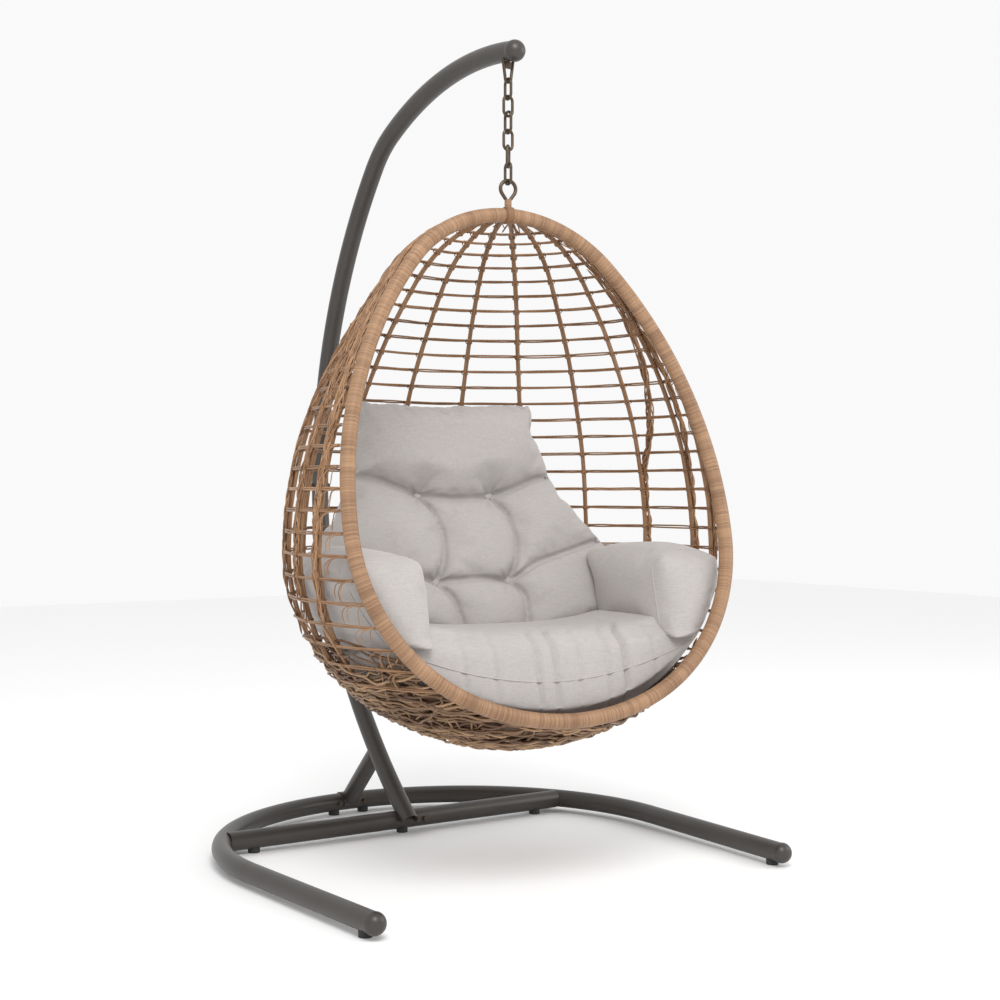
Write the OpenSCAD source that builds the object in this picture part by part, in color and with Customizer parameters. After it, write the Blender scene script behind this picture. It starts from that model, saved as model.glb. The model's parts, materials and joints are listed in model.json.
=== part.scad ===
// Hanging egg chair on a bowed stand.
// Millimetres, +Z up, the floor at Z = 0, the front of the stand towards -Y.
// The design is drawn about the hang axis (X = 0, Y = 0), then moved so that
// the origin lies at the middle of the whole chair's footprint.

/* [Stand tubes] */
// Outer diameter of every stand tube
tube_d = 48; // [42:1:52]
// Wall thickness of the stand tubes
tube_wall = 2; // [1.5:0.5:3]
// Height of the rubber feet under the tubes
foot_h = 10; // [6:1:14]
// Bend radius of the floor tube
base_r = 590; // [560:5:620]
// Distance of the floor bend's centre behind the hang axis
base_y = 215; // [200:5:230]
// Angle by which the front arms close in
toe_in = 3; // [0:1:5]
// Length of each straight front arm
arm_len = 533; // [480:1:560]
// Distance of the crossbar behind the hang axis
crossbar_y = 503; // [480:1:510]
// Where the crossbar's two halves meet
crossbar_seam_x = 45; // [40:1:60]

/* [Mast] */
// Where the mast's centre line starts behind the hang axis
mast_y = 463; // [455:1:475]
// Lean of the mast at its foot, from horizontal
mast_lean = 39; // [38:1:40]
// Foot of the brace up the mast, from the floor
brace_top_z = 196; // [180:1:210]

/* [Chain] */
// Height of the hanger's lowest point of contact
hang_z = 1885; // [1875:1:1890]
// Distance from one chain contact to the next
link_pitch = 40.6; // [38:0.1:43]
// Outer width of a chain link
link_w = 32; // [30:1:34]
// Diameter of the chain wire
link_wire = 7; // [6:0.5:7]

/* [Basket] */
// Turn of the hanging basket about the hang axis
basket_turn = -8; // [-12:1:12]
// Forward tilt of the rim's plane
rim_tilt = 15.5; // [14:0.5:16]
// Outer diameter of the wrapped rim
rim_d = 35; // [32:1:36]
// Diameter of the steel tube inside the rim
rim_core_d = 25; // [22:1:26]
// Diameter of a wrapped rib
rib_d = 12; // [10:1:13]
// Diameter of a cross rail
rail_d = 6.4; // [5:0.2:7]
// Thickness of the closely woven bowl
bowl_t = 18; // [12:1:20]

/* [Cushions] */
// Space between the cushions and the ribs' centre surface
cushion_gap = 9; // [8:1:14]
// Height of the back cushion's top edge
back_top_z = 1140; // [1100:5:1160]
// Depth of the back cushion, front to back
back_depth = 175; // [140:5:190]
// Height of the arm rolls
arm_top_z = 757; // [740:1:770]
// Distance from the middle to an arm roll's inner side
arm_x = 300; // [280:5:320]
// Height of the seat cushion's top
seat_top_z = 560; // [540:5:565]
// Lowest point of the seat cushion
seat_low_z = 352; // [345:1:380]
// Diameter of a covered button
button_d = 26; // [22:1:30]

/* [Hidden] */
$fn = 48;
fine = 360;
fit = 0.3;
// neighbouring bends overlap by a little, and every other one is a hair thinner
lap = 1;
step = 0.2;
tube_r = tube_d / 2;
tube_z = foot_h + tube_r;
spigot_r = tube_r - tube_wall - 0.2;
spigot_wall = 2.5;
bolt_r = 4;

// floor tube
base_rear_y = base_y + base_r;
base_front_y = base_y - base_r * sin(toe_in) - arm_len * cos(toe_in);
base_front_x = base_r * cos(toe_in) - arm_len * sin(toe_in);
cap_r = tube_r + 1;
crossbar_half = 500;

// the mast's bends from foot to tip: radius and turn
MAST_R = [1657, 839, 1360, 300, 917];
MAST_TURN = [22, 31, 38.5, 21.5, 32];
tip_turn = 6;
tip_r = 26;
function turned(turns, k) = k == 0 ? 0 : turns[k - 1] + turned(turns, k - 1);
function bend_end(p, r, a, b) = p + r * [sin(b) - sin(a), cos(a) - cos(b)];
function mast_p(k) = k == 0 ? [mast_y, tube_z] :
    bend_end(mast_p(k - 1), MAST_R[k - 1],
             mast_lean + turned(MAST_TURN, k - 1), mast_lean + turned(MAST_TURN, k));
mast_heading = mast_lean + turned(MAST_TURN, 5);
mast_joint = mast_p(2);
mast_joint_heading = mast_lean + turned(MAST_TURN, 2);
mast_rear_y = mast_p(1)[0] + MAST_R[1] * (1 - sin(mast_lean + MAST_TURN[0])) + tube_r;
tip_centre = bend_end(mast_p(5), MAST_R[4], mast_heading, mast_heading + tip_turn);
// underside of the mast over the hang axis
last_bend_c = mast_p(5) + MAST_R[4] * [-sin(mast_heading), cos(mast_heading)];
mast_under_z = last_bend_c[1]
    + sqrt(pow(MAST_R[4] - tube_r, 2) - pow(last_bend_c[0], 2));

// the whole chair's middle, front to back
front_y = base_front_y - cap_r;
mid_y = (mast_rear_y + front_y) / 2;

// brace from the rear of the floor tube up to the mast
brace_low = [base_rear_y, tube_z];
brace_high = [640, brace_top_z];
brace_len = norm(brace_high - brace_low);
brace_angle = atan2(brace_high[1] - brace_low[1], brace_low[0] - brace_high[0]);

// hanger and chain
hanger_wire_r = 4;
hanger_bend_r = 8;
hanger_spread = 8.5;
hanger_leg = 50;
gusset_top = mast_under_z - hang_z - hanger_bend_r - 0.4;
link_r = link_wire / 2;
link_bend_r = (link_w - link_wire) / 2;
links = 6;
LINK_TURN = [90, 0, 90, 0, 45, 90];
eye_wire_r = 4.5;
eye_bend_r = 20;
eye_neck_x = 5;
function contact_z(k) = hang_z - k * link_pitch;

// the egg: bends of its profile from the apex down, radius and turn; the last closes on the axis
apex_z = 1566;
EGG_R = [345, 1500, 985, 430];
EGG_TURN = [53, 10, 27, 57];
function egg_p(k) = k == 0 ? [0, apex_z] :
    egg_p(k - 1) + EGG_R[k - 1] * [
        sin(turned(EGG_TURN, k)) - sin(turned(EGG_TURN, k - 1)),
        cos(turned(EGG_TURN, k)) - cos(turned(EGG_TURN, k - 1))];
egg_last_turn = turned(EGG_TURN, 4);
egg_last_r = egg_p(4)[0] / sin(egg_last_turn);
egg_pole_c = egg_p(4)[1] - egg_last_r * cos(egg_last_turn);
// the bend that holds a heading, its radius and its centre
function bend_of(h) = h < 53 ? 0 : h < 63 ? 1 : h < 90 ? 2 : h < egg_last_turn ? 3 : 4;
function bend_r(k) = k < 4 ? EGG_R[k] : egg_last_r;
function bend_c(k) = k < 4 ?
    egg_p(k) - EGG_R[k] * [sin(turned(EGG_TURN, k)), cos(turned(EGG_TURN, k))] :
    [0, egg_pole_c];
// point of the profile at a heading, moved outwards
function egg_at(h, out = 0) =
    bend_c(bend_of(h)) + (bend_r(bend_of(h)) + out) * [sin(h), cos(h)];
// heading at a length along the profile
function egg_len(k) = k == 0 ? 0 : egg_len(k - 1) + EGG_R[k - 1] * EGG_TURN[k - 1] * PI / 180;
function heading_at(s, k = 0) = k == 3 || s < egg_len(k + 1) ?
    turned(EGG_TURN, k) + (s - egg_len(k)) / EGG_R[k] * 180 / PI : heading_at(s, k + 1);
// how far round from straight back the rim crosses the egg at a point of the profile
function rim_round(p) = acos(-(apex_z - p[1]) * tan(rim_tilt) / p[0]);

// the rim: bends of one side in its own plane, from the top
RIM_R = [327, 1004, 432];
RIM_TURN = [51, 41, 66];
function rim_x(k) = k == 0 ? 0 : rim_x(k - 1)
    + RIM_R[k - 1] * (sin(turned(RIM_TURN, k)) - sin(turned(RIM_TURN, k - 1)));
rim_last_turn = 180 - turned(RIM_TURN, 3);
rim_last_r = rim_x(3) / sin(rim_last_turn);
RIM_BENDS = concat(RIM_R, [rim_last_r]);
RIM_TURNS = concat(RIM_TURN, [rim_last_turn]);
function rim_y(k) = k == 0 ? 0 : rim_y(k - 1)
    + RIM_BENDS[k - 1] * (cos(turned(RIM_TURNS, k - 1)) - cos(turned(RIM_TURNS, k)));
rim_len = rim_y(4);
rim_r = rim_d / 2;
rim_core_wall = 1.5;

// ribs: how far round from straight back, and the heading at which each starts
RIB_ROUND = [10, 30, 50, 70, 90, 101];
RIB_START = [6.5, 6.5, 6.8, 11, 48, 65.5];
bowl_start = 132;
rib_r = rib_d / 2;

// rails: length along the egg to the first, the first pitch and its growth per rail
rail_first = 145;
rail_pitch = 40;
rail_growth = 0.5;
rails_per_node = 3;
rail_nodes = 9;
rail_r = rail_d / 2;
rail_out = rib_r + rail_r + fit;
function rail_s(k) = rail_first + rail_pitch * k + rail_growth * k * (k - 1) / 2;
function rail_clear(p) = rim_r + 2 + max(0, 700 - p[1]) * 0.08;

// crown gusset, post and lashing at the rim's top
gusset_r = 38;
gusset_t = 8;
post_r = 8;
post_top_z = 1603;
lashing_half = 10;
lashing_t = 3;

// cushions: the back cushion's front face from its foot up, as Y and Z, and its half outline
BACK_FACE = [[100, 545], [150, 670], [278, 905], [340, back_top_z]];
BACK_FRONT = [[258, back_top_z], [285, 940], [330, 850], [412, 765], [412, 545]];
back_lean = atan2(BACK_FACE[2][0] - BACK_FACE[1][0], BACK_FACE[2][1] - BACK_FACE[1][1]);
arm_low_z = 500;
arm_gap = 4;
arm_meets = BACK_FACE[1][0] + (arm_top_z - BACK_FACE[1][1]) * tan(back_lean);
BUTTONS_Z = [680, 895];
button_x = 100;
seat_front = rim_r + 3;

steel = "#4a443f";
bronze = "#4f4034";
wicker = "#b58a5c";
fabric = "#cdc8c4";

// ---------- shared shapes ----------

module placed() translate([0, -mid_y, 0]) children();
module in_basket() placed() rotate([0, 0, basket_turn]) children();

module ring_section(r, wall) {
    difference() {
        circle(r);
        if (wall > 0) circle(r - wall);
    }
}

// angle of a length along a bend
function arc_angle(length, radius) = length / radius * 180 / PI;

// one bend that starts at the origin, heads along +X and turns towards +Y
module bend(radius, turn, r, wall, before = 0, after = 0) {
    translate([0, radius, 0]) rotate([0, 0, -90])
        rotate_extrude(start = -arc_angle(before, radius),
                       angle = turn + arc_angle(before + after, radius), $fn = fine)
            translate([radius, 0]) ring_section(r, wall, $fn = 48);
}

// goes on from the end of a bend
module after_bend(radius, turn) {
    translate([0, radius, 0]) rotate([0, 0, turn]) translate([0, -radius, 0]) children();
}

// bends i to last - 1 joined end to end; odd ones lap over their neighbours
module bends(radii, turns, r, wall, i, last, before = 0) {
    odd = i % 2;
    if (i < last) {
        bend(radii[i], turns[i], r - odd * step, wall, odd * before, i < last - 1 ? odd * lap : 0);
        after_bend(radii[i], turns[i]) bends(radii, turns, r, wall, i + 1, last, lap);
    }
}

// puts a YZ point with a heading at the start of a bend drawn in the YZ plane
module on_mast(p, heading) {
    translate([0, p[0], p[1]]) rotate([90, 0, 90]) rotate([0, 0, heading]) children();
}

module bolt_and_nut(length) {
    translate([0, 0, -length / 2]) cylinder(h = length, r = bolt_r);
    translate([0, 0, length / 2]) difference() {
        cylinder(h = 5, r = 8);
        translate([0, 0, 2]) cylinder(h = 4, r = 2.9, $fn = 6);
    }
    translate([0, 0, -length / 2 - 6]) cylinder(h = 6, r = 7.4, $fn = 6);
}

module across_x(p) translate([0, p[0], p[1]]) rotate([0, 90, 0]) children();

// ---------- floor tube ----------

module base_path(r, wall) {
    translate([0, base_rear_y, tube_z]) mirror([0, 1, 0]) bend(base_r, 90 + toe_in, r, wall);
    translate([base_front_x, base_front_y, tube_z]) rotate([-90, 0, -toe_in])
        linear_extrude(height = arm_len + lap) ring_section(r - step, wall);
}

module base_bolt_places() {
    for (side = [-1, 1]) rotate_about_base(side * 4)
        translate([0, base_rear_y, tube_z]) rotate([-90, 0, 0]) children();
}

module rotate_about_base(a) translate([0, base_y, 0]) rotate([0, 0, a]) translate([0, -base_y, 0]) children();

module base_half() {
    difference() {
        base_path(tube_r, tube_wall);
        base_bolt_places() cylinder(h = 80, r = bolt_r + 0.2, center = true);
    }
}

module base_tube_right() color(steel) placed() base_half();
module base_tube_left() color(steel) placed() mirror([1, 0, 0]) base_half();

module base_spigot() color(steel) placed() difference() {
    rotate_about_base(7) translate([0, base_rear_y, tube_z]) mirror([0, 1, 0])
        bend(base_r, 14, spigot_r, spigot_wall);
    base_bolt_places() cylinder(h = 80, r = bolt_r + 0.2, center = true);
}

module end_cap() {
    translate([base_front_x, base_front_y, tube_z]) rotate([90, 0, -toe_in]) {
        intersection() {
            sphere(cap_r);
            translate([0, 0, cap_r]) cube(2 * cap_r, center = true);
        }
        translate([0, 0, -24]) cylinder(h = 24, r = spigot_r);
    }
}

module base_end_cap_right() color(steel) placed() end_cap();
module base_end_cap_left() color(steel) placed() mirror([1, 0, 0]) end_cap();

// ---------- crossbar ----------

module both_sides() {
    children();
    mirror([1, 0, 0]) children();
}

module crossbar_bolt_places() {
    for (x = [crossbar_seam_x - 12, crossbar_seam_x + 12])
        translate([x, crossbar_y, tube_z]) rotate([-90, 0, 0]) children();
}

module crossbar(x0, x1) {
    difference() {
        translate([x0, crossbar_y, tube_z]) rotate([0, 90, 0])
            linear_extrude(height = x1 - x0) ring_section(tube_r, tube_wall);
        both_sides() base_path(tube_r + 0.05, 0);
        crossbar_bolt_places() cylinder(h = 80, r = bolt_r + 0.2, center = true);
    }
}

module crossbar_left() color(steel) placed() crossbar(-crossbar_half, crossbar_seam_x - 0.2);
module crossbar_right() color(steel) placed() crossbar(crossbar_seam_x + 0.2, crossbar_half);

module crossbar_spigot() color(steel) placed() difference() {
    translate([crossbar_seam_x - 60, crossbar_y, tube_z]) rotate([0, 90, 0])
        linear_extrude(height = 120) ring_section(spigot_r, spigot_wall);
    crossbar_bolt_places() cylinder(h = 80, r = bolt_r + 0.2, center = true);
}

// ---------- mast ----------

module mast_bolt_places() {
    across_x(mast_joint + [0, -32]) children();
    across_x(mast_joint + [0, 32]) children();
}

module mast_lower() color(steel) placed() difference() {
    on_mast(mast_p(0), mast_lean) bends(MAST_R, MAST_TURN, tube_r, tube_wall, 0, 2);
    translate([0, crossbar_y, tube_z]) rotate([0, 90, 0])
        cylinder(h = 120, r = tube_r + 0.05, center = true);
    translate([0, crossbar_y - 60, 0]) cube([100, 120, 2 * tube_z], center = true);
    mast_bolt_places() cylinder(h = 80, r = bolt_r + 0.2, center = true);
}

module mast_upper() color(steel) placed() difference() {
    on_mast(mast_joint, mast_joint_heading) bends(MAST_R, MAST_TURN, tube_r, tube_wall, 2, 5);
    mast_bolt_places() cylinder(h = 80, r = bolt_r + 0.2, center = true);
}

module mast_spigot() color(steel) placed() difference() {
    union() {
        on_mast(mast_joint, mast_joint_heading) bend(MAST_R[2], 2.6, spigot_r, spigot_wall);
        on_mast(mast_joint, mast_joint_heading + 180) mirror([0, 1, 0])
            bend(MAST_R[1], 4.2, spigot_r - step, spigot_wall, lap);
    }
    mast_bolt_places() cylinder(h = 80, r = bolt_r + 0.2, center = true);
}

module mast_tip_outside(grow = 0) {
    on_mast(mast_p(5), mast_heading) bend(MAST_R[4], tip_turn, tube_r + grow, 0);
    translate([0, tip_centre[0], tip_centre[1]]) sphere(tip_r + grow);
}

module mast_tip() color(steel) placed() mast_tip_outside();

// ---------- brace ----------

module brace() color(steel) placed() difference() {
    translate([0, brace_low[0], brace_low[1]]) rotate([90 - brace_angle, 0, 0])
        linear_extrude(height = brace_len) ring_section(tube_r - 0.5, tube_wall);
    base_path(tube_r + 3.2, 0);
    mirror([1, 0, 0]) base_path(tube_r + 3.2, 0);
    on_mast(mast_p(0), mast_lean) bend(MAST_R[0], MAST_TURN[0], tube_r + 0.05, 0);
}

// saddle that clamps the brace's foot over the floor tube's rear joint
module brace_bracket() color(steel) placed() difference() {
    rotate_about_base(2.6) translate([0, base_rear_y, tube_z]) mirror([0, 1, 0])
        bend(base_r, 5.2, tube_r + 3, 2.9);
    translate([0, base_rear_y, tube_z - 30]) cube([90, 90, 40], center = true);
}

// ---------- fasteners and feet ----------

module stand_bolts() color(bronze) placed() {
    base_bolt_places() bolt_and_nut(2 * tube_r);
    crossbar_bolt_places() bolt_and_nut(2 * tube_r);
    mast_bolt_places() bolt_and_nut(2 * tube_r);
}

module foot(x, y) translate([x, y, 0]) cylinder(h = foot_h + 5, r = 15);

module rubber_feet() color("#26221f") placed() difference() {
    union() {
        both_sides() {
            foot(base_front_x + 2, base_front_y + 34);
            foot(430, crossbar_y);
            foot(46, base_rear_y - 2);
        }
        foot(0, crossbar_y);
    }
    both_sides() base_path(tube_r + 0.05, 0);
    translate([0, crossbar_y, tube_z]) rotate([0, 90, 0])
        cylinder(h = 2 * crossbar_half, r = tube_r + 0.05, center = true);
    rotate_about_base(2.6) translate([0, base_rear_y, tube_z]) mirror([0, 1, 0])
        bend(base_r, 5.2, tube_r + 3.1, 0);
}

// ---------- hanger ----------

module hanger_shape() {
    translate([0, 0, hang_z + hanger_bend_r]) rotate([90, 0, 0]) {
        rotate_extrude(start = 180 + hanger_spread, angle = 180 - 2 * hanger_spread)
            translate([hanger_bend_r, 0]) circle(hanger_wire_r);
        for (side = [-1, 1])
            rotate([0, 0, 90 - side * (90 + hanger_spread)])
                translate([hanger_bend_r, -side * lap, 0]) rotate([side * -90, 0, 0])
                    cylinder(h = hanger_leg, r = hanger_wire_r - step);
    }
}

module hanger_eye() color(bronze) placed() difference() {
    hanger_shape();
    mast_tip_outside(0.05);
}

// inner side of the hanger's legs at a height above its bend's centre
function leg_gap(up) = (hanger_bend_r + up * sin(hanger_spread) - hanger_wire_r)
    / cos(hanger_spread) - 0.05;

module hanger_gusset() color(bronze) placed() translate([0, 2, hang_z + hanger_bend_r])
    rotate([90, 0, 0]) linear_extrude(height = 4)
        polygon([[-leg_gap(24), 24], [leg_gap(24), 24],
                 [leg_gap(gusset_top), gusset_top], [-leg_gap(gusset_top), gusset_top]]);

// ---------- chain ----------

module chain_link(k) {
    // a link that hangs less than square in the one above needs more room
    room = k == 3 || k > 4 ? fit + 2.9 : fit;
    top = contact_z(k - 1) + (k == 1 ? hanger_wire_r : link_r) + link_r + room;
    leg = top - contact_z(k) - 2 * link_bend_r;
    color(bronze) placed() translate([0, 0, contact_z(k) + link_bend_r])
        rotate([90, 0, LINK_TURN[k - 1]]) {
            rotate_extrude(start = 180, angle = 180) translate([link_bend_r, 0]) circle(link_r);
            translate([0, leg, 0]) rotate_extrude(angle = 180)
                translate([link_bend_r, 0]) circle(link_r);
            for (side = [-1, 1]) translate([side * link_bend_r, 0, 0]) rotate([-90, 0, 0])
                cylinder(h = leg, r = link_r);
        }
}

module basket_eye() {
    top = contact_z(links) + link_r + eye_wire_r + fit;
    ring_z = top - eye_bend_r;
    drop = ring_z - post_top_z;
    reach = norm([eye_neck_x, drop]);
    lean = asin(eye_bend_r / reach) - atan2(eye_neck_x, drop);
    side_len = sqrt(reach * reach - eye_bend_r * eye_bend_r);
    color(bronze) in_basket() difference() {
        translate([0, 0, ring_z]) rotate([90, 0, 0]) {
            rotate_extrude(start = -lean, angle = 180 + 2 * lean)
                translate([eye_bend_r, 0]) circle(eye_wire_r);
            for (side = [-1, 1]) rotate([0, 0, 90 - side * (90 + lean)])
                translate([eye_bend_r, side * lap, 0]) rotate([side * 90, 0, 0])
                    cylinder(h = side_len + 4, r = eye_wire_r - step);
        }
        translate([0, 0, post_top_z - 10]) cube([60, 60, 20], center = true);
    }
}

// ---------- rim ----------

module in_rim_plane() translate([0, 0, apex_z]) rotate([-90 - rim_tilt, 0, 0]) children();

module rim_side(r, wall) in_rim_plane() bends(RIM_BENDS, RIM_TURNS, r, wall, 0, 4);

// the loop's top bend in one piece
module rim_top(r, wall) in_rim_plane() after_bend(RIM_R[0], -RIM_TURN[0])
    bend(RIM_R[0], 2 * RIM_TURN[0], r, wall);

// the whole loop, its top and bottom bends each in one piece
module rim_loop(r, wall) {
    rim_top(r, wall);
    in_rim_plane() {
        both_sides() after_bend(RIM_R[0], RIM_TURN[0])
            bends(RIM_BENDS, RIM_TURNS, r, wall, 1, 3, lap);
        translate([0, rim_len - rim_last_r, 0]) rotate([0, 0, 180 - rim_last_turn])
            translate([0, -rim_last_r, 0])
                bend(rim_last_r, 2 * rim_last_turn, r - step, wall, lap, lap);
    }
}

module rim_tube_right() color(steel) in_basket() rim_side(rim_core_d / 2, rim_core_wall);
module rim_tube_left() color(steel) in_basket() mirror([1, 0, 0])
    rim_side(rim_core_d / 2, rim_core_wall);

module rim_wrap() color(wicker) in_basket() rim_loop(rim_r, rim_r - rim_core_d / 2 - 0.05 - step);

module eye_post() color(wicker) in_basket() difference() {
    translate([0, 0, apex_z]) cylinder(h = post_top_z - apex_z - 0.05, r = post_r);
    rim_top(rim_r + 0.05, 0);
}

module rim_lashing() color(wicker) in_basket() difference() {
    translate([-lashing_half, 0, apex_z]) rotate([0, 90, 0])
        cylinder(h = 2 * lashing_half, r = rim_r + lashing_t);
    translate([0, 0, apex_z - RIM_R[0] * (1 - cos(1))]) rotate([0, 90, 0])
        cylinder(h = 4 * lashing_half, r = rim_r + fit, center = true);
    cylinder(h = 2 * apex_z, r = post_r + 0.2);
}

module crown_gusset() color(steel) in_basket() difference() {
    translate([0, 0, apex_z - gusset_t / 2 - 1]) cylinder(h = gusset_t, r = gusset_r - 1);
    translate([-50, -100 + rim_r + lashing_t + 0.4, apex_z - 20]) cube([100, 100, 40]);
}

// ---------- ribs, rails and bowl ----------

// part of the egg's profile as a rod between two headings, odd bends lapping over
module egg_bend(k, first, last) {
    odd = k % 2;
    over = arc_angle(odd * lap, bend_r(k));
    h0 = max(first, turned(EGG_TURN, k) - over);
    h1 = min(last, turned(EGG_TURN, k + 1) + over);
    if (h1 > h0) translate([bend_c(k)[0], 0, bend_c(k)[1]]) rotate([90, 0, 0])
        rotate_extrude(start = 90 - h1, angle = h1 - h0, $fn = fine)
            translate([bend_r(k), 0]) circle(rib_r - odd * step, $fn = 48);
}

module rib(side, k) color(wicker) in_basket() rotate([0, 0, 90 - side * RIB_ROUND[k]])
    for (j = [0:3]) egg_bend(j, RIB_START[k], bowl_start);

module rail(k) {
    h = heading_at(rail_s(k));
    p = egg_at(h);
    q = egg_at(h, rail_out);
    half = rim_round(p) - rail_clear(p) / p[0] * 180 / PI;
    translate([0, 0, q[1]]) rotate_extrude(start = 90 - half, angle = 2 * half, $fn = 120)
        translate([q[0], 0]) circle(rail_r, $fn = 24);
}

module rails(n) color(wicker) in_basket()
    for (k = [0:rails_per_node - 1]) rail((n - 1) * rails_per_node + k);

module bowl_weave() color(wicker) in_basket() difference() {
    rotate_extrude($fn = 120) polygon(concat(
        [for (h = [bowl_start:4:180]) [max(0, egg_at(h, bowl_t / 2)[0]), egg_at(h, bowl_t / 2)[1]]],
        [for (h = [180:-4:bowl_start]) [max(0, egg_at(h, -bowl_t / 2)[0]), egg_at(h, -bowl_t / 2)[1]]]));
    translate([0, 0, apex_z]) rotate([-rim_tilt, 0, 0])
        translate([-800, -1000 + rim_r + fit, -1600]) cube([1600, 1000, 1600]);
}

// ---------- cushions ----------

// the room inside the egg, as one solid of revolution
module egg_room(inset) {
    rotate_extrude() polygon(concat(
        [for (h = [0:6:180]) [max(0, egg_at(h, -inset)[0]), egg_at(h, -inset)[1]]]));
}

module behind_rim(d) translate([0, 0, apex_z]) rotate([-rim_tilt, 0, 0])
    translate([-800, d, -1600]) cube([1600, 1600, 1600]);

module along_x(points, width) rotate([90, 0, 90]) linear_extrude(height = width, center = true)
    polygon(points);

module back_cushion() color(fabric) in_basket() intersection() {
    egg_room(cushion_gap);
    along_x(concat(BACK_FACE, [[600, back_top_z], [600, 1000]],
                   [for (i = [2:-1:0]) BACK_FACE[i] + [back_depth, 0]]), 1200);
    rotate([90, 0, 0]) linear_extrude(height = 1400, center = true)
        polygon(concat(BACK_FRONT,
                       [for (i = [len(BACK_FRONT) - 1:-1:0]) [-BACK_FRONT[i][0], BACK_FRONT[i][1]]]));
}

module seat_cushion() color(fabric) in_basket() intersection() {
    egg_room(cushion_gap + 2);
    behind_rim(seat_front);
    union() {
        translate([-600, -600, seat_low_z]) cube([1200, 1200, arm_low_z - 4 - seat_low_z]);
        translate([2 - arm_x, -600, seat_low_z])
            cube([2 * arm_x - 4, 1200, BACK_FACE[0][1] - 4 - seat_low_z]);
        translate([2 - arm_x, -600, seat_low_z])
            cube([2 * arm_x - 4, 596 + BACK_FACE[0][0], seat_top_z - seat_low_z]);
    }
}

module arm_cushion(side) intersection() {
    egg_room(cushion_gap);
    behind_rim(seat_front);
    translate([side * (arm_x + 150), 0, 0]) along_x([
        [-600, arm_low_z], [BACK_FACE[0][0] - arm_gap - 18, arm_low_z],
        BACK_FACE[0] - [arm_gap, 0], BACK_FACE[1] - [arm_gap, 0],
        [arm_meets - arm_gap, arm_top_z], [-600, arm_top_z]], 300);
}

module arm_cushion_right() color(fabric) in_basket() arm_cushion(1);
module arm_cushion_left() color(fabric) in_basket() arm_cushion(-1);

module cushion_buttons() color(fabric) in_basket()
    for (side = [-1, 1]) for (z = BUTTONS_Z)
        translate([side * button_x,
                   BACK_FACE[1][0] + (z - BACK_FACE[1][1]) * tan(back_lean) - 0.6, z])
            rotate([90 - back_lean, 0, 0]) cylinder(h = 7, r = button_d / 2);

// ---------- the assembly ----------

base_tube_left();
base_tube_right();
base_spigot();
base_end_cap_left();
base_end_cap_right();
crossbar_left();
crossbar_right();
crossbar_spigot();
mast_lower();
mast_upper();
mast_spigot();
mast_tip();
brace();
brace_bracket();
stand_bolts();
rubber_feet();
hanger_eye();
hanger_gusset();
chain_link(1);  // chain_link_1
chain_link(2);  // chain_link_2
chain_link(3);  // chain_link_3
chain_link(4);  // chain_link_4
chain_link(5);  // chain_link_5
chain_link(6);  // chain_link_6
basket_eye();
eye_post();
rim_lashing();
crown_gusset();
rim_tube_left();
rim_tube_right();
rim_wrap();
rib(-1, 0);  // rib_left_1
rib(-1, 1);  // rib_left_2
rib(-1, 2);  // rib_left_3
rib(-1, 3);  // rib_left_4
rib(-1, 4);  // rib_left_5
rib(-1, 5);  // rib_left_6
rib(1, 0);  // rib_right_1
rib(1, 1);  // rib_right_2
rib(1, 2);  // rib_right_3
rib(1, 3);  // rib_right_4
rib(1, 4);  // rib_right_5
rib(1, 5);  // rib_right_6
rails(1);  // rails_1
rails(2);  // rails_2
rails(3);  // rails_3
rails(4);  // rails_4
rails(5);  // rails_5
rails(6);  // rails_6
rails(7);  // rails_7
rails(8);  // rails_8
rails(9);  // rails_9
bowl_weave();
seat_cushion();
back_cushion();
arm_cushion_left();
arm_cushion_right();
cushion_buttons();
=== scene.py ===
# %% [markdown]
# # A hanging egg chair
# A bowed tube stand carries a chain, and the chain carries a wicker basket
# full of cushions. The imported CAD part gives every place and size. This lesson
# dresses it: powder-coated steel, wound and woven cane, and stuffed cushions.

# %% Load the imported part
import json
import math

import bpy
import numpy as np
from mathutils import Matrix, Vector
from mathutils.bvhtree import BVHTree


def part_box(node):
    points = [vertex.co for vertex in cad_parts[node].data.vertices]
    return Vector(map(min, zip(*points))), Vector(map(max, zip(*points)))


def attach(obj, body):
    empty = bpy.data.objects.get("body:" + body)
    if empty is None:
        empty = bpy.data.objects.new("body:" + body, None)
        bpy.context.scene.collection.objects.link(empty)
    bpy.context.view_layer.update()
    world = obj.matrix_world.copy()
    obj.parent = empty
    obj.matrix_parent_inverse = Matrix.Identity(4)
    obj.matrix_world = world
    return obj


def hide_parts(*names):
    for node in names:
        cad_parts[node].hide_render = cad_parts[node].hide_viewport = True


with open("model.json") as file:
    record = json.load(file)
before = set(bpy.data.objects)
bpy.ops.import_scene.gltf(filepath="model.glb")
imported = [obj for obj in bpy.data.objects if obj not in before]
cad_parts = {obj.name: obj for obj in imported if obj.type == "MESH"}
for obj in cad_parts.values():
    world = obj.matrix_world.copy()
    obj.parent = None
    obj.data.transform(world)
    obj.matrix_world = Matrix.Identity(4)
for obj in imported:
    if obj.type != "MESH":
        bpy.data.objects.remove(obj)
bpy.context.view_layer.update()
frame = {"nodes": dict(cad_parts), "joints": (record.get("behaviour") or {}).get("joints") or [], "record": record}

# %% [markdown]
# ## Camera
# The camera stands a little below the basket's middle and well to the left, so
# the stand's bow shows behind the basket. It comes first, so that every later
# choice of detail can be judged from where the chair is seen.

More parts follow.
